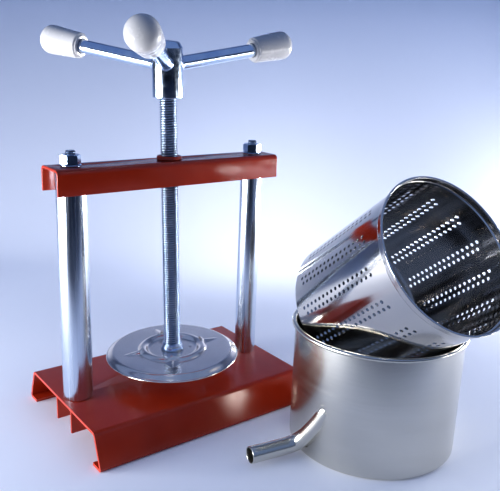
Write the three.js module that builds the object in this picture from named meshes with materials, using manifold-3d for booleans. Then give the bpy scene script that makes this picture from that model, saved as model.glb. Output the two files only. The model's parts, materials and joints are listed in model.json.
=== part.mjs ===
// Basket wine press: a small bench-top fruit press with a sheet-steel frame, a screw with
// three handles, a press plate, a collecting pot with a spout, and a basket that leans in the pot.
// Millimetres, +Z up. The beam and both columns stand along X, and the pot is on the -Y side.

import * as THREE from 'three';
import * as BufferGeometryUtils from 'three/addons/utils/BufferGeometryUtils.js';
import Module from 'manifold-3d';

const wasm = await Module();
wasm.setup();

// ---------- driving dimensions ----------
const GAP = 0.3; // clearance kept between pieces that touch
const DEG = Math.PI / 180;

const BASE = { length: 250, topWidth: 156, height: 36, flare: 12.5, sheet: 3, bend: 6, lip: 16, lipBend: 3 };
const STIFFENER = { length: 246, width: 38, height: 27, sheet: 2.5, bend: 4 };
const BEAM = { length: 256, width: 39.6, height: 24.7, top: 273.6, sheet: 2.5, bend: 5 };
const COLUMN = { x: 106.7, leftDiameter: 30, rightDiameter: 24, wall: 3 };
const STUD = { diameter: 10, below: 22, above: 15 };
const NUT = { flats: 17, height: 9, bore: 10.6 };
const WASHER = { diameter: 20, thickness: 1.6, bore: 10.8 };
const BEAM_NUT = { diameter: 25, above: 4, below: 18, bore: 19.4 };

const SCREW = { diameter: 18, lean: -1.5 * DEG, play: 0.2, bottom: -214, topInHub: 84 };
const HUB = { diameter: 31, bottom: 62.4, shoulder: 110.5, dome: 7.5, socket: 9, armHeight: 93.5 };
const ARM = { diameter: 14, start: 8.5, knobStart: 106, end: 157 };
const ARMS = [
  { name: 'front', azimuth: -128, elevation: 11.5 },
  { name: 'right', azimuth: 0, elevation: 8 },
  { name: 'left', azimuth: 117, elevation: 9 },
];
const KNOB = { diameter: 30, neck: 26.5, skirt: 22, bore: 40 };

const PLATE = { radius: 72.8, edge: -216.3, sheet: 2, crown: 5, rimWidth: 8.5, ringInner: 28, ringOuter: 38, ringRise: 3.4 };
const SOCKET = { diameter: 25, height: 9 };
const RETAINER = { washerDiameter: 30, washerThickness: 2, headFlats: 13, headHeight: 5 };

const POT = { x: 137.5, y: -181.5, radius: 84.2, height: 127.1, wall: 1.2, bend: 5, bead: 2.3 };
const SPOUT = { azimuth: 170.2 * DEG, diameter: 16.5, wall: 1.2, height: 12, end: 141.7 };
// Where the spout meets the pot it curves up along the wall and sinks into it:
// [angle past the spout, distance from the pot's axis, height] of the horn's centre line.
const HORN = [
  [0, 108, 12], [0, 99, 12.4], [1, 91.5, 15], [4.5, 86, 22], [9, 82.5, 32], [13.5, 79.6, 43], [17.5, 77.2, 55],
];
const BASKET = { radius: 74.6, height: 145.5, wall: 1.2, bend: 3, collar: 7, collarRise: 1.6, lip: 2.6 };
const BASKET_MOUTH = new THREE.Vector3(134.9, -258.4, 219.0);
const BASKET_AXIS = new THREE.Vector3(-0.0396, -0.786, 0.617).normalize();

const ROUND = 56; // segments round a large circle
const SMALL_ROUND = 28; // segments round a small circle

// ---------- materials ----------
const red = () => new THREE.MeshStandardMaterial({ color: 0x9c3222, roughness: 0.28, metalness: 0.05 });
const polished = () => new THREE.MeshStandardMaterial({ color: 0xd9dbe0, roughness: 0.16, metalness: 1 });
const stainless = () => new THREE.MeshStandardMaterial({ color: 0xb9bbb6, roughness: 0.3, metalness: 1 });
const zinc = () => new THREE.MeshStandardMaterial({ color: 0xb4c3d6, roughness: 0.24, metalness: 1 });
const whitePlastic = () => new THREE.MeshStandardMaterial({ color: 0xf1eeee, roughness: 0.25, metalness: 0 });

// ---------- geometry helpers ----------
function toManifold(geometry) {
  const bare = geometry.clone();
  bare.deleteAttribute('normal');
  bare.deleteAttribute('uv');
  const merged = BufferGeometryUtils.mergeVertices(bare, 1e-4);
  return new wasm.Manifold(new wasm.Mesh({
    numProp: 3,
    vertProperties: new Float32Array(merged.attributes.position.array),
    triVerts: new Uint32Array(merged.index.array),
  }));
}

function fromManifold(solid) {
  const mesh = solid.getMesh();
  const geometry = new THREE.BufferGeometry();
  geometry.setAttribute('position', new THREE.BufferAttribute(new Float32Array(mesh.vertProperties), 3));
  geometry.setIndex(new THREE.BufferAttribute(new Uint32Array(mesh.triVerts), 1));
  geometry.computeVertexNormals();
  return geometry;
}

function cut(geometry, ...tools) {
  const solid = tools.reduce((body, tool) => body.subtract(toManifold(tool)), toManifold(geometry));
  return fromManifold(solid);
}

function join(geometry, ...others) {
  return fromManifold(others.reduce((body, other) => body.add(toManifold(other)), toManifold(geometry)));
}

// Upright cylinder from z = low to z = high.
function cylinder(radius, low, high, segments = SMALL_ROUND) {
  const geometry = new THREE.CylinderGeometry(radius, radius, high - low, segments);
  return geometry.rotateX(Math.PI / 2).translate(0, 0, (low + high) / 2);
}

// A profile of [radius, height] points turned about Z. It starts and ends on the axis or closes.
function turned(profile, segments = ROUND) {
  const points = profile.map(([r, z]) => new THREE.Vector2(r, z));
  return new THREE.LatheGeometry(points, segments).rotateX(Math.PI / 2);
}

function tube(outer, inner, low, high, segments = ROUND) {
  return turned([[inner, low], [outer, low], [outer, high], [inner, high], [inner, low]], segments);
}

// Points of an arc, from angle a to angle b in degrees.
function arc(cx, cy, radius, a, b, steps) {
  return Array.from({ length: steps + 1 }, (_, i) => {
    const angle = (a + ((b - a) * i) / steps) * DEG;
    return [cx + radius * Math.cos(angle), cy + radius * Math.sin(angle)];
  });
}

// A sheet bent along a centre line: corners are rounded, and both faces are offset from it.
// A corner may carry its own bend radius as a third number.
function bentSheet(corners, thickness, sharedBend, length) {
  const line = [];
  corners.forEach((point, i) => {
    const here = new THREE.Vector2(point[0], point[1]);
    const bend = point[2] ?? sharedBend;
    if (i === 0 || i === corners.length - 1) {
      line.push(here);
      return;
    }
    const back = new THREE.Vector2(corners[i - 1][0], corners[i - 1][1]).sub(here).normalize();
    const ahead = new THREE.Vector2(corners[i + 1][0], corners[i + 1][1]).sub(here).normalize();
    const half = Math.acos(back.dot(ahead)) / 2;
    const reach = bend / Math.tan(half);
    const centre = back.clone().add(ahead).normalize().multiplyScalar(bend / Math.sin(half)).add(here);
    const start = here.clone().addScaledVector(back, reach).sub(centre);
    const end = here.clone().addScaledVector(ahead, reach).sub(centre);
    const from = start.angle();
    let sweep = end.angle() - from;
    if (sweep > Math.PI) sweep -= 2 * Math.PI;
    if (sweep < -Math.PI) sweep += 2 * Math.PI;
    const steps = 4;
    for (let k = 0; k <= steps; k += 1) {
      const angle = from + (sweep * k) / steps;
      line.push(new THREE.Vector2(Math.cos(angle), Math.sin(angle)).multiplyScalar(bend).add(centre));
    }
  });
  const side = (sign) => line.map((point, i) => {
    const before = line[Math.max(i - 1, 0)];
    const after = line[Math.min(i + 1, line.length - 1)];
    const along = after.clone().sub(before).normalize();
    return new THREE.Vector2(-along.y, along.x).multiplyScalar((sign * thickness) / 2).add(point);
  });
  const shape = new THREE.Shape([...side(1), ...side(-1).reverse()]);
  const geometry = new THREE.ExtrudeGeometry(shape, { depth: length, bevelEnabled: false });
  // The section lies in (Y, Z) and runs along X.
  const basis = new THREE.Matrix4().makeBasis(
    new THREE.Vector3(0, 1, 0), new THREE.Vector3(0, 0, 1), new THREE.Vector3(1, 0, 0),
  );
  return geometry.applyMatrix4(basis).translate(-length / 2, 0, 0);
}

function hexNut(flats, low, high, bore) {
  const body = new THREE.CylinderGeometry(flats / Math.sqrt(3), flats / Math.sqrt(3), high - low, 6);
  body.rotateX(Math.PI / 2).translate(0, 0, (low + high) / 2);
  return bore ? cut(body, cylinder(bore / 2, low - 1, high + 1)) : body;
}

const group = new THREE.Group();

function place(parent, name, geometry, material, x = 0, y = 0, z = 0) {
  const mesh = new THREE.Mesh(geometry, material);
  mesh.name = name;
  mesh.position.set(x, y, z);
  parent.add(mesh);
  return mesh;
}

// ---------- frame ----------
function buildBase(press) {
  const { topWidth, height, flare, sheet, bend, lip, lipBend, length } = BASE;
  const top = topWidth / 2 - sheet / 2;
  const foot = topWidth / 2 + flare - sheet / 2;
  const low = sheet / 2;
  const high = height - sheet / 2;
  const section = [
    [-foot + lip, low], [-foot, low, lipBend - low], [-top, high],
    [top, high], [foot, low, lipBend - low], [foot - lip, low],
  ];
  const channel = bentSheet(section, sheet, bend - sheet / 2, length);
  const hole = (x) => cylinder(STUD.diameter / 2 + GAP, height - sheet - 2, height + 2).translate(x, 0, 0);
  place(press, 'base_channel', cut(channel, hole(-COLUMN.x), hole(COLUMN.x)), red());

  const underBed = BASE.height - BASE.sheet - GAP;
  const stiff = STIFFENER;
  const edge = (stiff.width - stiff.sheet) / 2;
  const web = underBed - stiff.sheet / 2;
  const ribs = bentSheet(
    [[-edge, underBed - stiff.height], [-edge, web], [edge, web], [edge, underBed - stiff.height]],
    stiff.sheet, stiff.bend - stiff.sheet / 2, stiff.length,
  );
  const bolt = (x) => cylinder(STUD.diameter / 2 + GAP, underBed - stiff.sheet - 2, underBed + 2).translate(x, 0, 0);
  place(press, 'base_stiffener', cut(ribs, bolt(-COLUMN.x), bolt(COLUMN.x)), red());
}

function buildColumns(press) {
  const webUnder = BASE.height - BASE.sheet - GAP - STIFFENER.sheet;
  const sides = [
    { name: 'left', x: -COLUMN.x, diameter: COLUMN.leftDiameter },
    { name: 'right', x: COLUMN.x, diameter: COLUMN.rightDiameter },
  ];
  for (const { name, x, diameter } of sides) {
    const outer = diameter / 2;
    const bottom = BASE.height + GAP;
    const top = BEAM.top - BEAM.sheet - GAP;
    place(press, `column_${name}`, tube(outer, outer - COLUMN.wall, bottom, top), polished(), x);
    place(press, `tie_rod_${name}`,
      cylinder(STUD.diameter / 2, webUnder - STUD.below, BEAM.top + STUD.above), zinc(), x);
    const washer = (low) => tube(WASHER.diameter / 2, WASHER.bore / 2, low, low + WASHER.thickness, SMALL_ROUND);
    const topWasher = BEAM.top + GAP;
    const topNut = topWasher + WASHER.thickness + GAP;
    place(press, `top_washer_${name}`, washer(topWasher), zinc(), x);
    place(press, `top_nut_${name}`, hexNut(NUT.flats, topNut, topNut + NUT.height, NUT.bore), zinc(), x);
    const lowWasher = webUnder - GAP - WASHER.thickness;
    const lowNut = lowWasher - GAP - NUT.height;
    place(press, `bottom_washer_${name}`, washer(lowWasher), zinc(), x);
    place(press, `bottom_nut_${name}`, hexNut(NUT.flats, lowNut, lowNut + NUT.height, NUT.bore), zinc(), x);
  }
}

function buildBeam(press) {
  const { length, width, height, top, sheet, bend } = BEAM;
  const edge = (width - sheet) / 2;
  const web = top - sheet / 2;
  const channel = bentSheet(
    [[-edge, top - height], [-edge, web], [edge, web], [edge, top - height]],
    sheet, bend - sheet / 2, length,
  );
  const hole = (radius, x) => cylinder(radius, top - sheet - 2, top + 2, 40).translate(x, 0, 0);
  const studHole = STUD.diameter / 2 + GAP;
  const nutHole = BEAM_NUT.diameter / 2 + GAP;
  place(press, 'top_beam',
    cut(channel, hole(studHole, -COLUMN.x), hole(nutHole, 0), hole(studHole, COLUMN.x)), red());
  place(press, 'beam_nut',
    tube(BEAM_NUT.diameter / 2, BEAM_NUT.bore / 2, top - BEAM_NUT.below, top + BEAM_NUT.above, 40), red());
}

// ---------- screw, handles and plate (heights are from the nut, at the beam's top) ----------
function armPlacement({ azimuth, elevation }) {
  const along = new THREE.Vector3(
    Math.cos(elevation * DEG) * Math.cos(azimuth * DEG),
    Math.cos(elevation * DEG) * Math.sin(azimuth * DEG),
    Math.sin(elevation * DEG),
  );
  const turn = new THREE.Quaternion().setFromUnitVectors(new THREE.Vector3(0, 0, 1), along);
  return new THREE.Matrix4().compose(new THREE.Vector3(0, 0, HUB.armHeight), turn, new THREE.Vector3(1, 1, 1));
}

function buildScrew(screw) {
  place(screw, 'screw_rod', cylinder(SCREW.diameter / 2, SCREW.bottom, SCREW.topInHub, 36), zinc());

  const r = HUB.diameter / 2;
  const dome = arc(0, 0, 1, 0, 90, 5).map(([c, s]) => [r * c, HUB.shoulder + HUB.dome * s]);
  dome[dome.length - 1][0] = 0;
  const body = turned([[0, HUB.bottom], [r, HUB.bottom], ...dome], 40);
  const rodHole = cylinder(SCREW.diameter / 2 + GAP, HUB.bottom - 1, SCREW.topInHub + GAP, 36);
  const armHoles = ARMS.map((arm) => (
    cylinder(ARM.diameter / 2 + GAP, r - HUB.socket + 2 - GAP, r + 12).applyMatrix4(armPlacement(arm))));
  place(screw, 'handle_hub', cut(body, rodHole, ...armHoles), zinc());

  for (const arm of ARMS) {
    const pose = armPlacement(arm);
    const rod = cylinder(ARM.diameter / 2, ARM.start, ARM.knobStart + KNOB.bore);
    place(screw, `handle_rod_${arm.name}`, rod.applyMatrix4(pose), zinc());
    const wide = KNOB.diameter / 2;
    const domeStart = ARM.end - wide * 0.72;
    const cap = arc(0, 0, 1, 0, 90, 6).map(([c, s]) => [wide * c, domeStart + (ARM.end - domeStart) * s]);
    cap[cap.length - 1][0] = 0;
    const bore = ARM.diameter / 2 + GAP;
    const knob = turned([
      [0, ARM.knobStart + KNOB.bore + GAP], [bore, ARM.knobStart + KNOB.bore + GAP], [bore, ARM.knobStart],
      [KNOB.skirt / 2, ARM.knobStart], [KNOB.neck / 2, ARM.knobStart + 2.2], ...cap,
    ], 32);
    place(screw, `knob_${arm.name}`, knob.applyMatrix4(pose), whitePlastic());
  }
}

function buildPlate(screw) {
  const { radius, edge, sheet, crown, rimWidth, ringInner, ringOuter, ringRise } = PLATE;
  const flat = edge + crown; // top of the flat web
  const ringMiddle = (ringInner + ringOuter) / 2;
  const bore = SCREW.diameter / 2 + GAP;
  const topFace = [
    [radius, edge], [radius - rimWidth, flat], [ringOuter, flat], [ringOuter - 2, flat + ringRise * 0.75],
    [ringMiddle, flat + ringRise], [ringInner + 2, flat + ringRise * 0.75], [ringInner, flat], [bore, flat],
  ];
  const underside = topFace.map(([r, z]) => [r, z - sheet]).reverse();
  place(screw, 'press_plate', turned([...topFace, ...underside, topFace[0]]), stainless());
  place(screw, 'plate_socket',
    tube(SOCKET.diameter / 2, bore, flat + GAP, flat + SOCKET.height, 36), zinc());

  const washerTop = SCREW.bottom - GAP;
  const washerLow = washerTop - RETAINER.washerThickness;
  place(screw, 'retaining_washer', cylinder(RETAINER.washerDiameter / 2, washerLow, washerTop), zinc());
  const headTop = washerLow - GAP;
  place(screw, 'retaining_screw', hexNut(RETAINER.headFlats, headTop - RETAINER.headHeight, headTop, 0), zinc());
}

// ---------- pot and basket ----------
function buildPot(press) {
  const { x, y, radius, height, wall, bend, bead } = POT;
  const inner = radius - wall;
  const beadCentre = [radius + bead - wall / 2 - 0.4, height - bead];
  const wallPoints = [
    [0, 0], ...arc(radius - bend, bend, bend, -90, 0, 4),
    [radius, height - 2 * bead], ...arc(...beadCentre, bead, -120, 120, 6),
    [inner, height - 0.8], ...arc(radius - bend, bend, bend - wall, 0, -90, 4), [0, wall],
  ];
  const out = new THREE.Vector3(Math.cos(SPOUT.azimuth), Math.sin(SPOUT.azimuth), 0);
  const turn = new THREE.Quaternion().setFromUnitVectors(new THREE.Vector3(0, 0, 1), out);
  const radial = (geometry) => geometry.applyQuaternion(turn).translate(0, 0, SPOUT.height);
  const spoutRadius = SPOUT.diameter / 2;
  const drain = radial(cylinder(spoutRadius - SPOUT.wall, radius - 12, radius + 6));
  place(press, 'collecting_pot', cut(turned(wallPoints, 72), drain), stainless(), x, y);

  const pipe = radial(cylinder(spoutRadius, radius - 2, SPOUT.end));
  const line = new THREE.CatmullRomCurve3(HORN.map(([turnBy, r, z]) => new THREE.Vector3(
    r * Math.cos(SPOUT.azimuth + turnBy * DEG), r * Math.sin(SPOUT.azimuth + turnBy * DEG), z,
  )));
  const circle = new THREE.Shape(new THREE.Path().absarc(0, 0, spoutRadius, 0, 2 * Math.PI).getPoints(10));
  const horn = new THREE.ExtrudeGeometry(circle, { steps: 16, extrudePath: line, bevelEnabled: false });
  const bore = radial(cylinder(spoutRadius - SPOUT.wall, radius - 6, SPOUT.end + 1));
  const clear = cylinder(radius + GAP, -1, height + 1, 144);
  place(press, 'pot_spout', cut(join(pipe, horn), clear, bore), stainless(), x, y);
}

function buildBasket(press) {
  const { radius, height, wall, bend, collar, collarRise, lip } = BASKET;
  const inner = radius - wall;
  // The closed end is at local z = 0 and the mouth at z = height.
  const profile = [
    [0, 0], ...arc(radius - bend, bend, bend, -90, 0, 3),
    [radius, height - collar - 1.5], [radius + collarRise, height - collar], [radius + collarRise, height - 2],
    [radius + lip, height - 1.2], [radius + lip, height], [inner + collarRise, height],
    [inner + collarRise, height - collar], [inner, height - collar - 1.5],
    ...arc(radius - bend, bend, bend - wall, 0, -90, 3), [0, wall],
  ];
  const basket = place(press, 'basket', turned(profile, 72), polished());
  basket.quaternion.setFromUnitVectors(new THREE.Vector3(0, 0, 1), BASKET_AXIS);
  basket.position.copy(BASKET_MOUTH).addScaledVector(BASKET_AXIS, -height);
}

// ---------- assembly ----------
const press = new THREE.Group();
group.add(press);
buildBase(press);
buildColumns(press);
buildBeam(press);

const screw = new THREE.Group();
screw.position.set(-SCREW.play, 0, BEAM.top);
screw.rotation.y = SCREW.lean;
press.add(screw);
buildScrew(screw);
buildPlate(screw);

buildPot(press);
buildBasket(press);

// The origin is the middle of the whole set's footprint, on the surface that it stands on.
press.updateMatrixWorld(true);
const bounds = new THREE.Box3();
press.traverse((item) => {
  if (!item.isMesh) return;
  bounds.expandByObject(item, true);
});
const middle = bounds.getCenter(new THREE.Vector3());
press.position.set(-middle.x, -middle.y, -bounds.min.z);
group.updateMatrixWorld(true);

export default group;
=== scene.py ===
"""Basket wine press: the fine surfaces, materials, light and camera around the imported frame.

Shapes are worked out in the press's own frame, in millimetres: the origin is the middle of the base on the table,
+X runs along the beam, -Y points to the pot, +Z is up. PRESS turns that into the row's frame, in metres.
"""

import json
import math

import bmesh
import bpy
from mathutils import Matrix, Vector


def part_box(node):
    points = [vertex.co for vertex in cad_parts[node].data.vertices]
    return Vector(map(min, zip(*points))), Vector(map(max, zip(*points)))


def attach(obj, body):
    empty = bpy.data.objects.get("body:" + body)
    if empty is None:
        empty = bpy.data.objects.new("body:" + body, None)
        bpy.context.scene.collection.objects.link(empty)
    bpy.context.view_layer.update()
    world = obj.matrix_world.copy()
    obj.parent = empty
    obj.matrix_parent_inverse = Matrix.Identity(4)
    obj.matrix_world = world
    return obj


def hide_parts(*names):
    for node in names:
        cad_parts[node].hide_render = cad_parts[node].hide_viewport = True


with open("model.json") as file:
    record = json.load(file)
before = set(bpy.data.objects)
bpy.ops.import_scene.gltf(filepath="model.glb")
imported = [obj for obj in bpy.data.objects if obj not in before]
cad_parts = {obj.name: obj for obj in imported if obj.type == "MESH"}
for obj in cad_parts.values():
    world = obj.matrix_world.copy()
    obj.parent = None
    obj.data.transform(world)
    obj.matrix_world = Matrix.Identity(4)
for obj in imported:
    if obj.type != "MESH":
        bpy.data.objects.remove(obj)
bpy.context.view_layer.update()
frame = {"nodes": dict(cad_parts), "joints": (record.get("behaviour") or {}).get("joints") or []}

TAU = 2 * math.pi
base_low, base_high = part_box("base_channel")
PRESS = (Matrix.Translation(((base_low.x + base_high.x) / 2, (base_low.y + base_high.y) / 2, 0))
         @ Matrix.Scale(0.001, 4))

# ---------- driving dimensions (mm) ----------
CLEAR = 0.3  # between pieces that lie on each other, so that no two faces coincide
BASE = dict(length=250, top_width=156, height=36, flare=12.5, sheet=3, bend=6, lip=16, lip_bend=3)
STIFFENER = dict(length=246, width=38, height=27, sheet=2.5, bend=4)
STIFFENER_TOP = BASE["height"] - BASE["sheet"] - CLEAR
BEAM = dict(length=256, width=39.6, height=24.7, top=273.6, sheet=2.5, bend=5)
BEAM_NUT = dict(bore=9.75, radius=12.5, below=18, above=4)
COLUMN_X = 106.7
COLUMNS = {"left": (-COLUMN_X, 15.0), "right": (COLUMN_X, 12.0)}  # place, radius
COLUMN_WALL = 3
STUD = dict(radius=5.0, groove=0.85, pitch=1.5, above=15, below=22, chamfer=1.0)
WASHER = dict(bore=5.4, radius=10, thickness=1.6)
NUT = dict(bore=4.3, flats=17, height=9)
NUT_TURN = {"left": 17, "right": -5}  # degrees

# Heights on the screw are measured from the top of the beam.
SCREW_RADIUS, SCREW_GROOVE, PITCH = 9.0, 1.4, 2.5
SCREW_LOW, SCREW_HIGH = -214, 66
HUB = dict(low=62.4, radius=15.5, shoulder=110.5, crown_radius=12.2, crown=116.6, top=118)
ARM = dict(radius=7.0, start=8, sleeve_radius=7.8, sleeve_end=14.6, end=108)
ARM_HEIGHT = 93.5
ARMS = {"front": (-128, 11.5), "right": (0, 8), "left": (117, 9)}  # azimuth and rise, degrees
KNOB = dict(start=106, end=157, bore=7.3, radius=15.0, dome=11.5)
PLATE = dict(radius=72.8, edge=-216.3, sheet=1.4, rim_width=8.5, rim_drop=5.0, lip_radius=1.0)
PLATE_RING = dict(inner=27.5, outer=38.0, height=3.4, dish=0.8, dish_slope=2.5)
PLATE_RIBS = ((168, 6.0, 22), (352, 6.0, 22), (80, 6.0, 22), (240, 9.0, 17))  # azimuth, half width, length
RIB_HEIGHT, RIB_OVERLAP = 3.2, 4
DIMPLES = dict(azimuths=(95, 215, 335), place=20, radius=2.6, depth=0.9)

POT = Vector((137.5, -181.5, 0))
POT_RADIUS, POT_HEIGHT, POT_WALL, POT_BEAD = 84.2, 127.1, 1.1, 2.3
SPOUT_AZIMUTH = math.radians(170.2)
SPOUT_RADIUS, SPOUT_WALL, SPOUT_HEIGHT = 8.25, 1.0, 12
SPOUT_END, SPOUT_BEND, SPOUT_BORE_END = 141.7, 112, 88  # distances from the pot's axis
# The bend of the spout: turn from its azimuth in degrees, distance from the pot's axis, height.
HORN = [(0, 108, 12), (0, 99, 12.4), (1, 91.5, 15), (4.5, 86, 22), (9, 82.5, 32), (13.5, 79.6, 43), (17.5, 77.2, 55),
        (20.5, 73.5, 64)]
BASKET_RADIUS, BASKET_HEIGHT, BASKET_SHEET = 74.6, 145.5, 0.8
BASKET_MOUTH = Vector((134.9, -258.4, 219.0))
BASKET_WALL_LOW, COLLAR_HEIGHT = 3.0, 8.0
HOLE_PAIRS, HOLE_ROWS = 15, 16
HOLE_RADIUS, HOLE_PITCH, COLUMN_WIDTH = 1.8, 6.7, 6.6

CAMERA_PLACE = Vector((-362.2, -612.2, 382.4))
CAMERA_YAW, CAMERA_PITCH, CAMERA_ROLL = (math.radians(a) for a in (37.6, 15.64, -2.19))


def joint_axis(name):
    return next(Vector(j["axis"]) for j in frame["joints"] if j["name"] == name)


def along(axis):
    """Rotation that turns +Z to the axis."""
    return Vector((0, 0, 1)).rotation_difference(axis).to_matrix().to_4x4()


SCREW = PRESS @ Matrix.Translation((-0.2, 0, BEAM["top"])) @ along(joint_axis("screw_turn"))
BASKET_AXIS = joint_axis("basket_lift").normalized()
BASKET = PRESS @ Matrix.Translation(BASKET_MOUTH - BASKET_AXIS * BASKET_HEIGHT) @ along(BASKET_AXIS)
POT_FRAME = PRESS @ Matrix.Translation(POT)


# ---------- materials ----------
class Finish:
    """A Principled material built up with procedural detail in object space."""

    def __init__(self, name, colour, metallic=0.0, roughness=0.3, specular=0.5):
        self.material = bpy.data.materials.new(name)
        self.material.use_nodes = True
        self.nodes = self.material.node_tree.nodes
        self.links = self.material.node_tree.links
        self.shader = self.nodes["Principled BSDF"]
        self.shader.inputs["Base Color"].default_value = (*colour, 1)
        self.shader.inputs["Metallic"].default_value = metallic
        self.shader.inputs["Roughness"].default_value = roughness
        self.shader.inputs["Specular IOR Level"].default_value = specular
        self.place = self.nodes.new("ShaderNodeTexCoord").outputs["Object"]
        self.last_bump = None

    def mapped(self, scale):
        node = self.nodes.new("ShaderNodeMapping")
        node.inputs["Scale"].default_value = scale
        self.links.new(self.place, node.inputs["Vector"])
        return node.outputs["Vector"]

    def radial(self, centre, per_metre):
        """A coordinate that runs outward from an upright axis, for marks turned on a lathe."""
        shift = self.nodes.new("ShaderNodeVectorMath")
        shift.operation = "SUBTRACT"
        shift.inputs[1].default_value = centre
        self.links.new(self.place, shift.inputs[0])
        flat = self.nodes.new("ShaderNodeVectorMath")
        flat.operation = "MULTIPLY"
        flat.inputs[1].default_value = (1, 1, 0)
        self.links.new(shift.outputs["Vector"], flat.inputs[0])
        length = self.nodes.new("ShaderNodeVectorMath")
        length.operation = "LENGTH"
        self.links.new(flat.outputs["Vector"], length.inputs[0])
        combine = self.nodes.new("ShaderNodeCombineXYZ")
        multiply = self.nodes.new("ShaderNodeMath")
        multiply.operation = "MULTIPLY"
        multiply.inputs[1].default_value = per_metre
        self.links.new(length.outputs["Value"], multiply.inputs[0])
        self.links.new(multiply.outputs["Value"], combine.inputs["X"])
        return combine.outputs["Vector"]

    def noise(self, vector, detail=3.0):
        node = self.nodes.new("ShaderNodeTexNoise")
        node.inputs["Scale"].default_value = 1.0
        node.inputs["Detail"].default_value = detail
        node.inputs["Roughness"].default_value = 0.55
        self.links.new(vector, node.inputs["Vector"])
        return node.outputs["Fac"]

    def spread(self, value, low, high, from_low=0.3, from_high=0.7):
        node = self.nodes.new("ShaderNodeMapRange")
        node.inputs["From Min"].default_value = from_low
        node.inputs["From Max"].default_value = from_high
        node.inputs["To Min"].default_value = low
        node.inputs["To Max"].default_value = high
        self.links.new(value, node.inputs["Value"])
        return node.outputs["Result"]

    def vary_roughness(self, value, low, high):
        self.links.new(self.spread(value, low, high), self.shader.inputs["Roughness"])

    def vary_colour(self, value, dark, light):
        node = self.nodes.new("ShaderNodeMix")
        node.data_type = "RGBA"
        node.inputs["A"].default_value = (*dark, 1)
        node.inputs["B"].default_value = (*light, 1)
        self.links.new(self.spread(value, 0, 1), node.inputs["Factor"])
        self.links.new(node.outputs["Result"], self.shader.inputs["Base Color"])

    def bump(self, value, strength, distance):
        node = self.nodes.new("ShaderNodeBump")
        node.inputs["Strength"].default_value = strength
        node.inputs["Distance"].default_value = distance
        self.links.new(value, node.inputs["Height"])
        if self.last_bump:
            self.links.new(self.last_bump, node.inputs["Normal"])
        self.last_bump = node.outputs["Normal"]
        self.links.new(self.last_bump, self.shader.inputs["Normal"])


def red_enamel():
    f = Finish("red_enamel", (0.36, 0.030, 0.012), roughness=0.22)
    f.vary_colour(f.noise(f.mapped((14, 14, 14))), (0.32, 0.025, 0.006), (0.41, 0.036, 0.010))
    f.vary_roughness(f.noise(f.mapped((60, 60, 60))), 0.15, 0.26)
    f.bump(f.noise(f.mapped((420, 420, 420)), detail=2), 0.06, 0.0003)
    return f.material


def polished_column():
    f = Finish("polished_column", (0.64, 0.70, 0.80), metallic=1, roughness=0.2)
    f.vary_roughness(f.noise(f.mapped((500, 500, 7))), 0.15, 0.30)
    f.bump(f.noise(f.mapped((900, 900, 14)), detail=3), 0.22, 0.0003)
    return f.material


def zinc_plate():
    f = Finish("zinc_plate", (0.58, 0.70, 0.84), metallic=1, roughness=0.16)
    f.vary_colour(f.noise(f.mapped((45, 45, 45))), (0.52, 0.63, 0.80), (0.68, 0.77, 0.88))
    f.vary_roughness(f.noise(f.mapped((180, 180, 180))), 0.11, 0.24)
    f.bump(f.noise(f.mapped((700, 700, 700)), detail=2), 0.05, 0.0002)
    return f.material


def groove_painted_shade():
    # Painted shade: a near-black metal that darkens the thread's grooves.
    f = Finish("groove_painted_shade", (0.05, 0.065, 0.09), metallic=0.8, roughness=0.4)
    f.vary_colour(f.noise(f.mapped((90, 90, 90))), (0.035, 0.045, 0.065), (0.08, 0.10, 0.13))
    f.vary_roughness(f.noise(f.mapped((200, 200, 200))), 0.3, 0.5)
    return f.material


def stamped_stainless(centre):
    f = Finish("stamped_stainless", (0.88, 0.79, 0.71), metallic=1, roughness=0.2)
    f.vary_colour(f.noise(f.mapped((22, 22, 22))), (0.80, 0.72, 0.65), (0.93, 0.84, 0.76))
    f.vary_roughness(f.noise(f.mapped((40, 40, 40))), 0.13, 0.24)
    f.bump(f.noise(f.radial(centre, 1500), detail=2), 0.06, 0.0002)
    return f.material


def brushed_stainless():
    f = Finish("brushed_stainless", (0.62, 0.60, 0.54), metallic=1, roughness=0.24)
    f.vary_colour(f.noise(f.mapped((7, 7, 30))), (0.60, 0.58, 0.52), (0.65, 0.63, 0.57))
    f.vary_roughness(f.noise(f.mapped((6, 6, 500))), 0.21, 0.27)
    f.bump(f.noise(f.mapped((12, 12, 1500)), detail=2), 0.02, 0.0002)
    return f.material


def mirror_stainless():
    f = Finish("mirror_stainless", (0.66, 0.63, 0.59), metallic=1, roughness=0.09)
    f.vary_roughness(f.noise(f.mapped((50, 50, 50))), 0.07, 0.14)
    f.bump(f.noise(f.mapped((28, 28, 28)), detail=1), 0.03, 0.001)
    return f.material


def white_plastic():
    f = Finish("white_plastic", (0.60, 0.58, 0.57), roughness=0.25)
    f.vary_colour(f.noise(f.mapped((30, 30, 30))), (0.54, 0.525, 0.515), (0.59, 0.575, 0.565))
    f.vary_roughness(f.noise(f.mapped((120, 120, 120))), 0.20, 0.30)
    f.bump(f.noise(f.mapped((260, 260, 260)), detail=2), 0.05, 0.0003)
    return f.material


plate_centre = (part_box("press_plate")[0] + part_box("press_plate")[1]) / 2
RED = red_enamel()
POLISHED = polished_column()
ZINC = zinc_plate()
GROOVE_PAINTED_SHADE = groove_painted_shade()
STAMPED = stamped_stainless(plate_centre)
BRUSHED = brushed_stainless()
MIRROR = mirror_stainless()
WHITE = white_plastic()


# ---------- mesh helpers ----------
def link(name, data):
    made = bpy.data.objects.new(name, data)
    bpy.context.scene.collection.objects.link(made)
    return made


def new_mesh(name, verts, faces):
    mesh = bpy.data.meshes.new(name)
    mesh.from_pydata(verts, [], faces)
    return mesh


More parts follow.
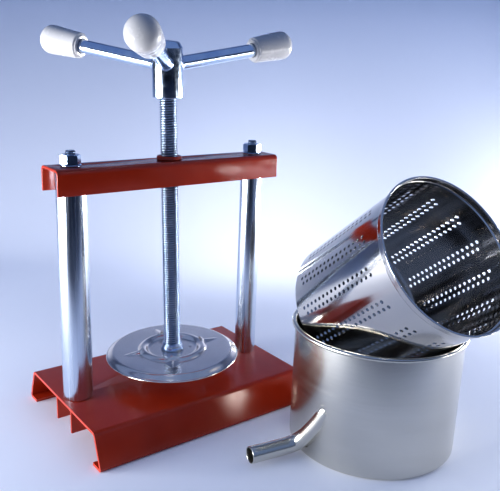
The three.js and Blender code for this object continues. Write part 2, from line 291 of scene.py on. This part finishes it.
def face_outward(mesh, merge=0.0):
    """Turns every face outward, after joining points that are closer than the merge distance."""
    bm = bmesh.new()
    bm.from_mesh(mesh)
    if merge:
        bmesh.ops.remove_doubles(bm, verts=bm.verts, dist=merge)
        bmesh.ops.dissolve_degenerate(bm, edges=bm.edges, dist=0.4 * merge)
    bmesh.ops.recalc_face_normals(bm, faces=bm.faces)
    bm.to_mesh(mesh)
    bm.free()


def ring(radius, z, segments):
    return [(radius * math.cos(TAU * k / segments), radius * math.sin(TAU * k / segments), z) for k in range(segments)]


def tube_faces(rings, segments, closed=False):
    """Quads between each ring of points and the next, and from the last to the first if the tube is closed."""
    faces = []
    for i in range(rings if closed else rings - 1):
        low, high = i * segments, (i + 1) % rings * segments
        for k in range(segments):
            n = (k + 1) % segments
            faces.append((low + k, low + n, high + n, high + k))
    return faces


def add_mesh(name, mesh, transform, material, sharp=35):
    """Puts a mesh in its place, smooth except at edges sharper than the angle in degrees."""
    mesh.transform(transform)
    mesh.polygons.foreach_set("use_smooth", [True] * len(mesh.polygons))
    mesh.set_sharp_from_angle(angle=math.radians(sharp))
    piece = link(name, mesh)
    mesh.materials.append(material)
    return piece


def stand_for(piece, body, slot, *nodes):
    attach(piece, body)
    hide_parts(*nodes)
    return piece


def fillet(points, steps=5):
    """Rounds the corners of a line of (x, y[, radius]) points."""
    out = []
    for i, point in enumerate(points):
        radius = point[2] if len(point) > 2 else 0
        here = Vector(point[:2])
        if radius <= 0 or i in (0, len(points) - 1):
            out.append(here)
            continue
        back = (Vector(points[i - 1][:2]) - here).normalized()
        ahead = (Vector(points[i + 1][:2]) - here).normalized()
        half = math.acos(max(-1, min(1, back.dot(ahead)))) / 2
        if half > math.pi / 2 - 1e-3:
            out.append(here)
            continue
        centre = here + (back + ahead).normalized() * (radius / math.sin(half))
        start = here + back * (radius / math.tan(half)) - centre
        end = here + ahead * (radius / math.tan(half)) - centre
        first = math.atan2(start.y, start.x)
        sweep = (math.atan2(end.y, end.x) - first + math.pi) % TAU - math.pi
        out += [centre + Vector((math.cos(first + sweep * k / steps), math.sin(first + sweep * k / steps))) * radius
                for k in range(steps + 1)]
    return out


def turned(name, profile, transform, material, segments=96, closed=False, sharp=35):
    """A profile of (radius, height[, corner radius]) points turned about Z."""
    verts, rings = [], []
    for r, z in fillet(profile):
        if r < 1e-6:
            rings.append([len(verts)] * segments)
            verts.append((0, 0, z))
        else:
            rings.append([len(verts) + k for k in range(segments)])
            verts += ring(r, z, segments)
    faces = []
    for low, high in list(zip(rings, rings[1:])) + ([(rings[-1], rings[0])] if closed else []):
        for k in range(segments):
            n = (k + 1) % segments
            face = list(dict.fromkeys((low[k], low[n], high[n], high[k])))
            if len(face) > 2:
                faces.append(face)
    mesh = new_mesh(name, verts, faces)
    mesh.validate()
    face_outward(mesh)
    return add_mesh(name, mesh, transform, material, sharp)


def bent_sheet(name, corners, thickness, length, transform, material, holes):
    """A sheet folded along a centre line in (Y, Z), running along X, with eased edges and (x, z, radius) holes."""
    line = fillet(corners, steps=8)
    n = len(line)
    verts, faces = [], []
    for x in (-length / 2, length / 2):
        for sign in (1, -1):
            for i, point in enumerate(line):
                run = (line[min(i + 1, n - 1)] - line[max(i - 1, 0)]).normalized()
                side = point + Vector((-run.y, run.x)) * (sign * thickness / 2)
                verts.append((x, side.x, side.y))
    for i in range(n - 1):
        faces.append((i, i + 1, n + i + 1, n + i))
        faces.append((2 * n + i, 3 * n + i, 3 * n + i + 1, 2 * n + i + 1))
        for start in (0, n):
            faces.append((start + i, 2 * n + start + i, 2 * n + start + i + 1, start + i + 1))
    for i in (0, n - 1):
        faces.append((i, n + i, 3 * n + i, 2 * n + i))
    mesh = new_mesh(name, verts, faces)
    face_outward(mesh)
    piece = link(name, mesh)
    cutters = []
    reach = 8  # above and below the hole's height
    for x, z, radius in holes:
        cutter = turned("cutter", [(0, z - reach), (radius, z - reach), (radius, z + reach), (0, z + reach)],
                        Matrix.Translation((x, 0, 0)), material, 48)
        cutters.append(cutter)
        boolean = piece.modifiers.new("hole", "BOOLEAN")
        boolean.object = cutter
        boolean.solver = "EXACT"
    ease = piece.modifiers.new("ease", "BEVEL")
    ease.width = 0.45
    ease.segments = 3
    ease.limit_method = "ANGLE"
    ease.angle_limit = math.radians(50)
    bpy.context.view_layer.update()
    fine = bpy.data.meshes.new_from_object(piece.evaluated_get(bpy.context.evaluated_depsgraph_get()))
    for extra in (piece, *cutters):
        bpy.data.objects.remove(extra)
    fine.materials.clear()
    return add_mesh(name, fine, transform, material)


def threaded(name, radius, groove, pitch, low, high, transform, material, segments, per_turn, chamfer=0.0):
    """A rod with a right-hand thread, closed at both ends, with painted shade in the groove as a darker material."""
    crest, flank = 0.22, 0.58  # shares of half a pitch
    rows = round((high - low) / pitch * per_turn)
    verts = []
    for i in range(rows + 1):
        z = low + (high - low) * i / rows
        limit = min(radius, radius - chamfer + min(z - low, high - z))
        for k in range(segments):
            phase = (z / pitch - k / segments) % 1.0
            off_crest = abs(phase - 0.5) * 2  # 0 in the middle of the crest, 1 in the middle of the groove
            sunk = max(0.0, min(1.0, (off_crest - crest) / flank))
            r = min(limit, radius - groove * sunk)
            verts.append((r * math.cos(TAU * k / segments), r * math.sin(TAU * k / segments), z))
    faces = tube_faces(rows + 1, segments)
    faces.append(tuple(reversed(range(segments))))
    faces.append(tuple(range(rows * segments, (rows + 1) * segments)))
    # Faces sunk deep in the groove take the near-black material, painted shade.
    root = radius - 0.55 * groove
    shaded_groove_faces = [len(face) == 4 and sum(math.hypot(*verts[v][:2]) for v in face) / 4 < root for face in faces]
    mesh = new_mesh(name, verts, faces)
    rod = add_mesh(name, mesh, transform, material, sharp=60)
    mesh.materials.append(GROOVE_PAINTED_SHADE)
    mesh.polygons.foreach_set("material_index", [int(d) for d in shaded_groove_faces])
    return rod


def hex_nut(name, flats, low, high, bore, transform, material, segments=144):
    """A hexagon nut, with the curved chamfer that turning leaves on its corners."""
    apothem = flats / 2
    face_radius = apothem * 0.97
    slope = math.tan(math.radians(30))
    ease = 0.8  # chamfer of the bore
    angles = [TAU * k / segments for k in range(segments)]
    hexagon = [apothem / math.cos((a + math.pi / 6) % (math.pi / 3) - math.pi / 6) for a in angles]
    drop = [max(0.0, (r - face_radius) * slope) for r in hexagon]

    def level(radius, z):
        return [(radius, z)] * segments

    rings = [level(bore, low + ease), level(bore + ease, low), level(face_radius, low),
             [(r, low + d) for r, d in zip(hexagon, drop)], [(r, high - d) for r, d in zip(hexagon, drop)],
             level(face_radius, high), level(bore + ease, high), level(bore, high - ease)]
    verts = [(r * math.cos(a), r * math.sin(a), z) for line in rings for (r, z), a in zip(line, angles)]
    mesh = new_mesh(name, verts, tube_faces(len(rings), segments, closed=True))
    face_outward(mesh)
    return add_mesh(name, mesh, transform, material, sharp=22)


# ---------- frame ----------
def stud_holes(z):
    return [(x, z, STUD["radius"] + CLEAR) for x in (-COLUMN_X, COLUMN_X)]


def channel_line(part, top):
    """Centre line of a U channel that is open below."""
    edge, web = (part["width"] - part["sheet"]) / 2, top - part["sheet"] / 2
    low, bend = top - part["height"], part["bend"] - part["sheet"] / 2
    return [(-edge, low), (-edge, web, bend), (edge, web, bend), (edge, low)]


def build_base():
    b = BASE
    top = b["top_width"] / 2 - b["sheet"] / 2
    foot = b["top_width"] / 2 + b["flare"] - b["sheet"] / 2
    low, high = b["sheet"] / 2, b["height"] - b["sheet"] / 2
    lip_bend, bend = b["lip_bend"] - b["sheet"] / 2, b["bend"] - b["sheet"] / 2
    line = [(-foot + b["lip"], low), (-foot, low, lip_bend), (-top, high, bend),
            (top, high, bend), (foot, low, lip_bend), (foot - b["lip"], low)]
    base = bent_sheet("bed_sheet", line, b["sheet"], b["length"], PRESS, RED, stud_holes(b["height"]))
    stand_for(base, "frame", "red_enamel", "base_channel")
    ribs = bent_sheet("bed_stiffener", channel_line(STIFFENER, STIFFENER_TOP), STIFFENER["sheet"],
                      STIFFENER["length"], PRESS, RED, stud_holes(STIFFENER_TOP))
    stand_for(ribs, "frame", "red_enamel", "base_stiffener")


def build_beam():
    top = BEAM["top"]
    bore, radius = BEAM_NUT["bore"], BEAM_NUT["radius"]
    low, high = top - BEAM_NUT["below"], top + BEAM_NUT["above"]
    beam = bent_sheet("beam_sheet", channel_line(BEAM, top), BEAM["sheet"], BEAM["length"], PRESS, RED,
                      stud_holes(top) + [(0, top, radius + CLEAR)])
    stand_for(beam, "frame", "red_enamel", "top_beam")
    # The nut is painted with the beam, with a weld fillet round its foot.
    weld = [(radius, top - 0.2), (radius + 2.7, top + 0.05, 1.2), (radius + 0.5, top + 1.3, 1.0)]
    nut = turned("screw_nut", [
        (bore, low + 1), (bore + 0.75, low), (radius, low, 0.6), *weld, (radius, high, 1.0), (bore + 0.45, high, 0.3),
        (bore, high - 0.8)], PRESS, RED, closed=True)
    stand_for(nut, "frame", "red_enamel", "beam_nut")


def build_columns():
    under_web = STIFFENER_TOP - STIFFENER["sheet"]
    low, high = BASE["height"] + CLEAR, BEAM["top"] - BEAM["sheet"] - CLEAR
    bore, rim, thickness = WASHER["bore"], WASHER["radius"], WASHER["thickness"]
    top_washer, low_washer = BEAM["top"] + CLEAR, under_web - CLEAR - thickness
    stacks = {"top": (top_washer, top_washer + thickness + CLEAR),
              "bottom": (low_washer, low_washer - CLEAR - NUT["height"])}
    for side, (x, radius) in COLUMNS.items():
        at = PRESS @ Matrix.Translation((x, 0, 0))
        inner = radius - COLUMN_WALL
        tube = turned(f"column_tube_{side}", [
            (inner, low), (radius, low, 0.5), (radius, high, 0.5), (inner, high)], at, POLISHED, 128, closed=True)
        stand_for(tube, "frame", "polished_metal", f"column_{side}")
        stud = threaded(f"stud_{side}", STUD["radius"], STUD["groove"], STUD["pitch"], under_web - STUD["below"],
                        BEAM["top"] + STUD["above"], at, ZINC, segments=28, per_turn=8, chamfer=STUD["chamfer"])
        stand_for(stud, "frame", "zinc_plate", f"tie_rod_{side}")
        for end, (washer, nut) in stacks.items():
            plain = turned(f"{end}_washer_ring_{side}", [
                (bore, washer), (rim, washer, 0.3), (rim, washer + thickness, 0.5), (bore, washer + thickness)],
                at, ZINC, 64, closed=True)
            stand_for(plain, "frame", "zinc_plate", f"{end}_washer_{side}")
            turn = at @ Matrix.Rotation(math.radians(NUT_TURN[side]), 4, "Z")
            hexagon = hex_nut(f"{end}_hex_{side}", NUT["flats"], nut, nut + NUT["height"], NUT["bore"], turn, ZINC)
            stand_for(hexagon, "frame", "zinc_plate", f"{end}_nut_{side}")


# ---------- screw, handles and plate ----------
def arm_frame(azimuth, rise):
    a, e = math.radians(azimuth), math.radians(rise)
    way = Vector((math.cos(e) * math.cos(a), math.cos(e) * math.sin(a), math.sin(e)))
    return SCREW @ Matrix.Translation((0, 0, ARM_HEIGHT)) @ along(way)


def build_screw():
    rod = threaded("screw_thread", SCREW_RADIUS, SCREW_GROOVE, PITCH, SCREW_LOW, SCREW_HIGH, SCREW, ZINC,
                   segments=48, per_turn=12)
    stand_for(rod, "screw", "zinc_plate", "screw_rod")
    hub = turned("hub_body", [
        (0, HUB["low"]), (HUB["radius"], HUB["low"], 0.8), (HUB["radius"], HUB["shoulder"], 2.5),
        (HUB["crown_radius"], HUB["crown"], 5), (0, HUB["top"])], SCREW, ZINC, 128)
    stand_for(hub, "screw", "zinc_plate", "handle_hub")
    thin, thick, end = ARM["radius"], ARM["sleeve_radius"], ARM["end"]
    bore, radius, dome = KNOB["bore"], KNOB["radius"], KNOB["dome"]
    s, e = KNOB["start"], KNOB["end"]
    cap = [(radius * math.cos(math.radians(t)), e - dome + dome * math.sin(math.radians(t))) for t in range(6, 91, 6)]
    for name, (azimuth, rise) in ARMS.items():
        at = arm_frame(azimuth, rise)
        rod = turned(f"arm_{name}", [
            (0, ARM["start"]), (thick, ARM["start"]), (thick, ARM["sleeve_end"]), (thin, ARM["sleeve_end"] + 1.2, 1.0),
            (thin, end), (0, end)], at, ZINC, 64)
        stand_for(rod, "screw", "zinc_plate", f"handle_rod_{name}")
        knob = turned(f"grip_{name}", [
            (bore, s + 6), (bore, s + 0.6), (8.0, s, 0.5), (11.2, s, 1.2), (11.6, s + 1.6, 0.8), (13.1, s + 2.3, 1.4),
            (13.5, s + 8, 6), (radius, e - 16, 20), (radius, e - dome), *cap], at, WHITE, 96, sharp=50)
        stand_for(knob, "screw", "white_plastic", f"knob_{name}")


def plate_height(r, angle):
    """Height of the plate's top face over its flat web."""
    flat_end, ring_in, ring_out = PLATE["radius"] - PLATE["rim_width"], PLATE_RING["inner"], PLATE_RING["outer"]
    z = 0.0
    if r > flat_end:
        t = (r - flat_end) / (PLATE["radius"] - flat_end)
        z -= PLATE["rim_drop"] * (t * t * (3 - 2 * t))
    if ring_in < r < ring_out:
        t = (r - ring_in) / (ring_out - ring_in)
        z += PLATE_RING["height"] * math.sin(math.pi * t) ** 0.8
    if r <= ring_in:
        z -= PLATE_RING["dish"] * min(1.0, (ring_in - r) / PLATE_RING["dish_slope"])
    for centre, half_width, reach in PLATE_RIBS:
        off = (angle - math.radians(centre) + math.pi) % TAU - math.pi
        along_rib = (r - ring_out + RIB_OVERLAP) / reach
        if 0 < along_rib < 1:
            half = half_width * (1 - along_rib ** 2) + 0.5
            if abs(off) * r < half:
                z = max(z, z + RIB_HEIGHT * (1 - along_rib) * math.cos(math.pi / 2 * off * r / half) ** 2)
    for centre in DIMPLES["azimuths"]:
        away = math.hypot(r * math.cos(angle) - DIMPLES["place"] * math.cos(math.radians(centre)),
                          r * math.sin(angle) - DIMPLES["place"] * math.sin(math.radians(centre)))
        if away < DIMPLES["radius"]:
            z -= DIMPLES["depth"] * (0.5 + 0.5 * math.cos(math.pi * away / DIMPLES["radius"]))
    return z


def build_plate():
    rings, spokes = 160, 480
    web = PLATE["edge"] + PLATE["rim_drop"]
    inner, outer = SCREW_RADIUS + CLEAR, PLATE["radius"] - PLATE["lip_radius"]
    radii = [inner + (outer - inner) * i / rings for i in range(rings + 1)]

    def pressed(r, sunk):
        return [(x, y, web + plate_height(r, TAU * k / spokes) - sunk)
                for k, (x, y, _) in enumerate(ring(r, 0, spokes))]

    verts = []
    for r in radii:
        verts += pressed(r, 0)
    lip_z = PLATE["edge"] - PLATE["sheet"] / 2 + 0.1
    for t in (60, 30, 0, -30, -60, -90):
        verts += ring(outer + PLATE["lip_radius"] * math.cos(math.radians(t)),
                      lip_z + 0.9 * math.sin(math.radians(t)), spokes)
    for r in reversed(radii):
        verts += pressed(r, PLATE["sheet"])
    mesh = new_mesh("pressing_disc", verts, tube_faces(len(verts) // spokes, spokes, closed=True))
    face_outward(mesh)
    disc = add_mesh("pressing_disc", mesh, SCREW, STAMPED, sharp=60)
    stand_for(disc, "plate", "stainless_plate", "press_plate")
    foot, bore, flange, collar = web - 0.6, SCREW_RADIUS + 0.35, 12.4, 10.9
    socket = turned("socket_ring", [
        (bore, foot), (flange, foot, 0.4), (flange, foot + 2.2, 0.8), (collar, foot + 3.2, 0.6),
        (collar, foot + 6.6, 0.7), (bore, foot + 7.2)], SCREW, ZINC, 96, closed=True)
    stand_for(socket, "plate", "zinc_plate", "plate_socket")


# ---------- pot ----------
def build_pot():
    r, h = POT_RADIUS, POT_HEIGHT
    wall, bead, inner = POT_WALL, POT_BEAD, POT_RADIUS - POT_WALL
    centre_r, centre_z = r + bead - 1.0, h - bead
    roll = [(centre_r + bead * math.cos(math.radians(t)), centre_z + bead * math.sin(math.radians(t)))
            for t in range(-150, 151, 15)]
    # The floor stands a little higher than the foot ring round it.
    floor, raised, foot = 0.9, r - 12, r - 7
    pot = turned("pot_shell", [
        (0, floor), (raised, 0.5, 6), (foot, 0, 2), (r, 0, 5), (r, h - 2 * bead - 0.6, 1.5), *roll,
        (inner, h - 1.6, 1.0), (inner, wall, 4), (raised, wall + 0.4, 4), (0, wall + floor)], POT_FRAME, BRUSHED, 192)
    stand_for(pot, "pot", "brushed_stainless", "collecting_pot")


def smooth_line(points, steps):
    """Catmull-Rom curve through the points."""
    ends = [points[0] * 2 - points[1], *points, points[-1] * 2 - points[-2]]
    out = []
    for i in range(1, len(ends) - 2):
        a, b, c, d = ends[i - 1:i + 3]
        for k in range(steps):
            t = k / steps
            out.append(0.5 * ((2 * b) + (c - a) * t + (2 * a - 5 * b + 4 * c - d) * t * t
                              + (3 * b - a - 3 * c + d) * t ** 3))
    out.append(ends[-2])
    return out


def swept(points, radii, segments):
    """Rings of vertices along a line, with a frame that turns as little as it can."""
    rings = []
    normal = Vector((0, 0, 1))
    for i, (point, radius) in enumerate(zip(points, radii)):
        way = (points[min(i + 1, len(points) - 1)] - points[max(i - 1, 0)]).normalized()
        normal = (normal - way * normal.dot(way)).normalized()
        side = way.cross(normal)
        rings.append([point + (normal * math.cos(TAU * k / segments) + side * math.sin(TAU * k / segments)) * radius
                      for k in range(segments)])
    return rings


def build_spout():
    segments = 64

    def polar(turn, r, z):
        a = SPOUT_AZIMUTH + math.radians(turn)
        return Vector((r * math.cos(a), r * math.sin(a), z))

    end = polar(0, SPOUT_END, SPOUT_HEIGHT)
    straight = [end.lerp(polar(0, SPOUT_BEND, SPOUT_HEIGHT), t / 6) for t in range(6)]
    line = straight + smooth_line([polar(*p) for p in HORN], 10)
    bore_line = [end.lerp(polar(0, SPOUT_BORE_END, SPOUT_HEIGHT), t / 12) for t in range(13)]
    outer = swept(line, [SPOUT_RADIUS] * len(line), segments)
    inner = swept(bore_line, [SPOUT_RADIUS - SPOUT_WALL] * len(bore_line), segments)
    outward = (end - polar(0, SPOUT_BEND, SPOUT_HEIGHT)).normalized()
    half = SPOUT_WALL / 2
    lips = []
    for t in (36, 72, 108, 144):
        r = SPOUT_RADIUS - half + half * math.cos(math.radians(t))
        tip = end + outward * (half * math.sin(math.radians(t)))
        lips.append(swept([tip, tip - outward], [r, r], segments)[0])
    rings = [*reversed(outer), *lips, *inner]
    # Points that would lie inside the pot are drawn back into its wall.
    keep_out = POT_RADIUS - 0.5
    verts = []
    for v in (v for line in rings for v in line):
        reach = math.hypot(v.x, v.y)
        if reach < keep_out:
            v = Vector((v.x * keep_out / reach, v.y * keep_out / reach, v.z))
        verts.append(v)
    mesh = new_mesh("spout_tube", verts, tube_faces(len(rings), segments))
    face_outward(mesh, merge=0.005)
    tube = add_mesh("spout_tube", mesh, POT_FRAME, BRUSHED, sharp=60)
    stand_for(tube, "pot", "brushed_stainless", "pot_spout")


# ---------- basket ----------
def basket_wall():
    """The perforated wall as a skin of quads round real holes, with its own thickness."""
    outer = BASKET_RADIUS
    around = TAU * outer
    gap_width = around / HOLE_PAIRS - 2 * COLUMN_WIDTH
    side, first = 4, 11.0  # points along a cell's side, and the height of the first row of cells
    step = HOLE_PITCH / side
    rows = HOLE_ROWS * side + side // 2
    verts, faces, index = [], [], {}

    def vert(s, z):
        key = (round((s % around) * 500) % round(around * 500), round(z * 500))
        if key not in index:
            index[key] = len(verts)
            verts.append((s % around, z))
        return index[key]

    def plain(s0, s1, columns, z_values):
        marks = [s0 + (s1 - s0) * c / columns for c in range(columns + 1)]
        for a, b in zip(marks, marks[1:]):
            for low, high in zip(z_values, z_values[1:]):
                faces.append((vert(a, low), vert(b, low), vert(b, high), vert(a, high)))

    def holed(s0, z0):
        cell = []
        for i in range(side):
            cell.append((s0 + COLUMN_WIDTH * i / side, z0))
        for i in range(side):
            cell.append((s0 + COLUMN_WIDTH, z0 + step * i))
        for i in range(side):
            cell.append((s0 + COLUMN_WIDTH * (side - i) / side, z0 + HOLE_PITCH))
        for i in range(side):
            cell.append((s0, z0 + step * (side - i)))
        cs, cz = s0 + COLUMN_WIDTH / 2, z0 + HOLE_PITCH / 2
        rim, middle = [], []
        for s, z in cell:
            a = math.atan2(z - cz, s - cs)
            hole = (cs + HOLE_RADIUS * math.cos(a), cz + HOLE_RADIUS * math.sin(a))
            rim.append(vert(*hole))
            middle.append(vert((s + hole[0] * 1.6) / 2.6, (z + hole[1] * 1.6) / 2.6))
        edge = [vert(*p) for p in cell]
        count = len(cell)
        for i in range(count):
            n = (i + 1) % count
            faces.append((edge[i], edge[n], middle[n], middle[i]))
            faces.append((middle[i], middle[n], rim[n], rim[i]))

    top_start = first + rows * step
    low_marks = [BASKET_WALL_LOW, 5.5, 8.0, first]
    high_marks = [top_start + (BASKET_HEIGHT - COLLAR_HEIGHT - top_start) * i / 4 for i in range(5)]
    band = [first + step * i for i in range(rows + 1)]
    for pair in range(HOLE_PAIRS):
        start = pair * around / HOLE_PAIRS
        for column in range(2):
            s0 = start + column * COLUMN_WIDTH
            lift = (side // 2) * step if column else 0.0
            for row in range(HOLE_ROWS):
                holed(s0, first + lift + row * HOLE_PITCH)
            spare = band[:side // 2 + 1] if column else band[-(side // 2 + 1):]
            plain(s0, s0 + COLUMN_WIDTH, side, spare)
            plain(s0, s0 + COLUMN_WIDTH, side, low_marks)
            plain(s0, s0 + COLUMN_WIDTH, side, high_marks)
        gap = start + 2 * COLUMN_WIDTH
        for marks in (low_marks, band, high_marks):
            plain(gap, gap + gap_width, 8, marks)
    count = len(verts)
    solid = [(radius * math.cos(s / outer), radius * math.sin(s / outer), z)
             for radius in (outer, outer - BASKET_SHEET) for s, z in verts]
    edges = dict.fromkeys(pair for face in faces for pair in zip(face, face[1:] + face[:1]))
    inside = [tuple(count + v for v in reversed(face)) for face in faces]
    rims = [(b, a, count + a, count + b) for a, b in edges if (b, a) not in edges]

    def from_axis(v):
        return Vector((solid[v][0], solid[v][1], 0)).normalized()

    # The inner skin's normals follow the outer skin's points, which lie on the same rays from the axis.
    normals = [from_axis(v) for face in faces for v in face]
    normals += [-from_axis(v) for face in faces for v in reversed(face)]
    for face in rims:
        a, b, c = (Vector(solid[v]) for v in face[:3])
        normals += [(b - a).cross(c - b).normalized()] * 4
    return solid, [*faces, *inside, *rims], normals


def build_basket():
    verts, faces, normals = basket_wall()
    mesh = new_mesh("perforated_wall", verts, faces)
    mesh.transform(BASKET)
    turn = BASKET.to_3x3().normalized()
    mesh.polygons.foreach_set("use_smooth", [True] * len(mesh.polygons))
    mesh.normals_split_custom_set([turn @ n for n in normals])
    mesh.materials.append(MIRROR)
    wall = link("perforated_wall", mesh)
    stand_for(wall, "basket", "mirror_stainless", "basket")

    # The bottom and the collar overlap the ends of the wall by a hair.
    r, h, t = BASKET_RADIUS, BASKET_HEIGHT, BASKET_SHEET
    floor, raised, foot, top = 0.7, r - 10, r - 7, BASKET_WALL_LOW + 0.05
    bottom = turned("basket_bottom", [
        (0, floor), (raised, floor, 4), (foot, 0, 2), (r, 0, 3), (r, top), (r - t, top), (r - t, t, 2.2),
        (foot, t, 2), (raised, floor + t, 4), (0, floor + t)], BASKET, MIRROR, 192)
    low, step = h - COLLAR_HEIGHT - 0.05, r + 1.6
    collar = turned("basket_collar", [
        (r, low), (r, h - 7.6), (step, h - 6.6, 1.2), (step, h - 1.6, 0.6), (step + 1.0, h - 1.2, 0.3),
        (step + 1.0, h - 0.1, 0.5), (step - t - 0.6, h, 0.5), (step - t, h - 1.6, 0.5), (step - t, h - 6.6, 1.0),
        (r - t, h - 7.6), (r - t, low)], BASKET, MIRROR, 192, closed=True)
    for piece in (bottom, collar):
        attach(piece, "basket")


# ---------- stage, light and camera ----------
LAMPS = {  # place, target and size in metres, power in watts, colour
    "left_box": ((-1.00, 0.25, 0.13), (0, -0.05, 0.06), (0.8, 0.20), 19, (0.95, 0.97, 1)),
    "right_box": ((1.10, -0.15, 0.13), (0, -0.10, 0.06), (0.7, 0.20), 16, (0.97, 0.98, 1)),
    "low_lamp": ((0.67, -0.75, 0.05), (0.1, 0, 0.26), (0.24, 0.09), 1.2, (1, 0.99, 0.98)),
    "back_glow": ((0.36, 0.42, 0.26), (0.50, 0.66, 0.0), (0.3, 0.3), 0.55, (0.93, 0.95, 1)),
}


def paper():
    """Pale board with painted shade, darker with height and towards its front edge, and clear from behind."""
    f = Finish("paper", (0.84, 0.87, 0.96), roughness=0.7, specular=0.1)
    height = f.nodes.new("ShaderNodeSeparateXYZ")
    f.links.new(f.place, height.inputs["Vector"])
    ease = f.nodes.new("ShaderNodeMath")
    ease.operation = "POWER"
    ease.inputs[1].default_value = 0.6
    f.links.new(f.spread(height.outputs["Z"], 0, 1, 0.0, 0.60), ease.inputs[0])
    depth = f.nodes.new("ShaderNodeVectorMath")
    depth.operation = "DOT_PRODUCT"
    depth.inputs[1].default_value = (math.sin(CAMERA_YAW), math.cos(CAMERA_YAW), 0)
    f.links.new(f.place, depth.inputs[0])
    # Painted shade: the board's colour falls to dark blue with height and to near black towards its front edge, where
    # the lamps' light fades.
    painted_shade_tones = [(ease.outputs["Value"], (0.15, 0.20, 0.33)),
             (f.spread(depth.outputs["Value"], 1, 0, -0.55, -0.22), (0.05, 0.06, 0.08))]
    colour = None
    for factor, shade_colour in painted_shade_tones:
        mix = f.nodes.new("ShaderNodeMix")
        mix.data_type = "RGBA"
        mix.inputs["A"].default_value = (0.88, 0.90, 0.97, 1)
        if colour:
            f.links.new(colour, mix.inputs["A"])
        mix.inputs["B"].default_value = (*shade_colour, 1)
        f.links.new(factor, mix.inputs["Factor"])
        colour = mix.outputs["Result"]
    f.links.new(colour, f.shader.inputs["Base Color"])
    f.bump(f.noise(f.mapped((300, 300, 300)), detail=2), 0.02, 0.0002)
    see_through = f.nodes.new("ShaderNodeMixShader")
    f.links.new(f.nodes.new("ShaderNodeNewGeometry").outputs["Backfacing"], see_through.inputs["Fac"])
    f.links.new(f.shader.outputs["BSDF"], see_through.inputs[1])
    f.links.new(f.nodes.new("ShaderNodeBsdfTransparent").outputs["BSDF"], see_through.inputs[2])
    f.links.new(see_through.outputs["Shader"], f.nodes["Material Output"].inputs["Surface"])
    return f.material


def build_stage():
    """A sheet of pale board that faces the camera, lies under the press and curves up behind it."""
    half, front, wall, radius, top = 2.0, -2.0, 0.95, 0.45, 1.5
    sunk = 0.0002  # keeps the board just under the pieces that stand on it
    line = [(front, 0), (wall - radius, 0)]
    line += [(wall - radius + radius * math.sin(math.radians(t)), radius - radius * math.cos(math.radians(t)))
             for t in range(5, 90, 5)]
    line += [(wall, radius), (wall, top)]
    verts = [(x, y, z - sunk) for y, z in line for x in (-half, half)]
    faces = [(2 * i, 2 * i + 1, 2 * i + 3, 2 * i + 2) for i in range(len(line) - 1)]
    mesh = new_mesh("backdrop", verts, faces)
    stage = add_mesh("backdrop", mesh, Matrix.Rotation(-CAMERA_YAW, 4, "Z"), paper())


def area_light(name, place, target, size, power, colour):
    light = bpy.data.lights.new(name, "AREA")
    light.shape = "RECTANGLE"
    light.size, light.size_y = size
    light.energy = power
    light.color = colour
    lamp = link(name, light)
    lamp.location = place
    lamp.rotation_euler = (Vector(target) - Vector(place)).to_track_quat("-Z", "Y").to_euler()
    return lamp


def build_light():
    world = bpy.data.worlds.new("studio")
    bpy.context.scene.world = world
    world.use_nodes = True
    nodes, links = world.node_tree.nodes, world.node_tree.links
    way = nodes.new("ShaderNodeSeparateXYZ")
    links.new(nodes.new("ShaderNodeTexCoord").outputs["Generated"], way.inputs["Vector"])
    rise = nodes.new("ShaderNodeMapRange")
    rise.inputs["From Min"].default_value = -0.02
    rise.inputs["From Max"].default_value = 0.35
    links.new(way.outputs["Z"], rise.inputs["Value"])
    mix = nodes.new("ShaderNodeMix")
    mix.data_type = "RGBA"
    mix.inputs["A"].default_value = (0.010, 0.012, 0.016, 1)
    mix.inputs["B"].default_value = (0.16, 0.23, 0.42, 1)
    links.new(rise.outputs["Result"], mix.inputs["Factor"])
    links.new(mix.outputs["Result"], nodes["Background"].inputs["Color"])
    lamps = {name: area_light(name, *values) for name, values in LAMPS.items()}
    lamps["back_glow"].visible_camera = False


def build_camera():
    """Looks at the press from its front left, a little above the beam."""
    yaw, pitch, roll = CAMERA_YAW, CAMERA_PITCH, CAMERA_ROLL
    ahead = Vector((math.sin(yaw) * math.cos(pitch), math.cos(yaw) * math.cos(pitch), -math.sin(pitch)))
    right = Vector((math.cos(yaw), -math.sin(yaw), 0))
    down = ahead.cross(right)
    tilted_right = right * math.cos(roll) + down * math.sin(roll)
    tilted_down = down * math.cos(roll) - right * math.sin(roll)
    data = bpy.data.cameras.new("camera")
    data.sensor_width = 36
    data.lens = 49.57
    data.clip_start = 0.01
    camera = link("camera", data)
    turn = Matrix((tilted_right, -tilted_down, -ahead)).transposed().to_4x4()
    camera.matrix_world = Matrix.Translation(PRESS @ CAMERA_PLACE) @ turn
    bpy.context.scene.camera = camera


build_camera()
build_stage()
build_light()
build_base()
build_beam()
build_columns()
build_screw()
build_plate()
build_pot()
build_spout()
build_basket()
for node in ("retaining_washer", "retaining_screw"):
    carried = frame["nodes"][node]
    carried.data.materials.clear()
    carried.data.materials.append(ZINC)

bpy.context.scene.view_settings.view_transform = "Standard"
bpy.context.scene.view_settings.look = "Medium High Contrast"
bpy.context.view_layer.update()
